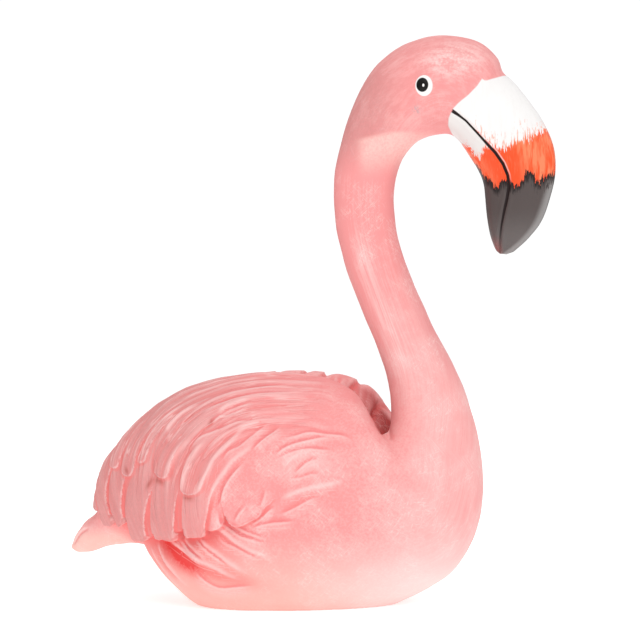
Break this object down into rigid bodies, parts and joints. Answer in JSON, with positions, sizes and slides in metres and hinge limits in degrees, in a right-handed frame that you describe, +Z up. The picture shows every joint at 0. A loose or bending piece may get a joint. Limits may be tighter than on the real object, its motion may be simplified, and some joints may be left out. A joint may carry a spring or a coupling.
{
  "type": "flamingo figurine",
  "caption": "Sitting pink flamingo figurine with folded feathered wings, a curved upright neck and a down-bent painted beak, standing on its flat underside.",
  "frame": {"origin": "centre of the figurine's length and width, on the flat underside", "axes": "+Z up along the neck; +X towards the breast and beak; the bird is the same on both sides of the plane y = 0"},
  "size_m": [0.2865, 0.121, 0.3149],
  "materials": {
    "painted_resin": "satin brush-painted pink, with a glossier white, orange and black beak and black and white eyes"
  },
  "bodies": {
    "root": {"flamingo_figure": "painted_resin"}
  },
  "joints": []
}
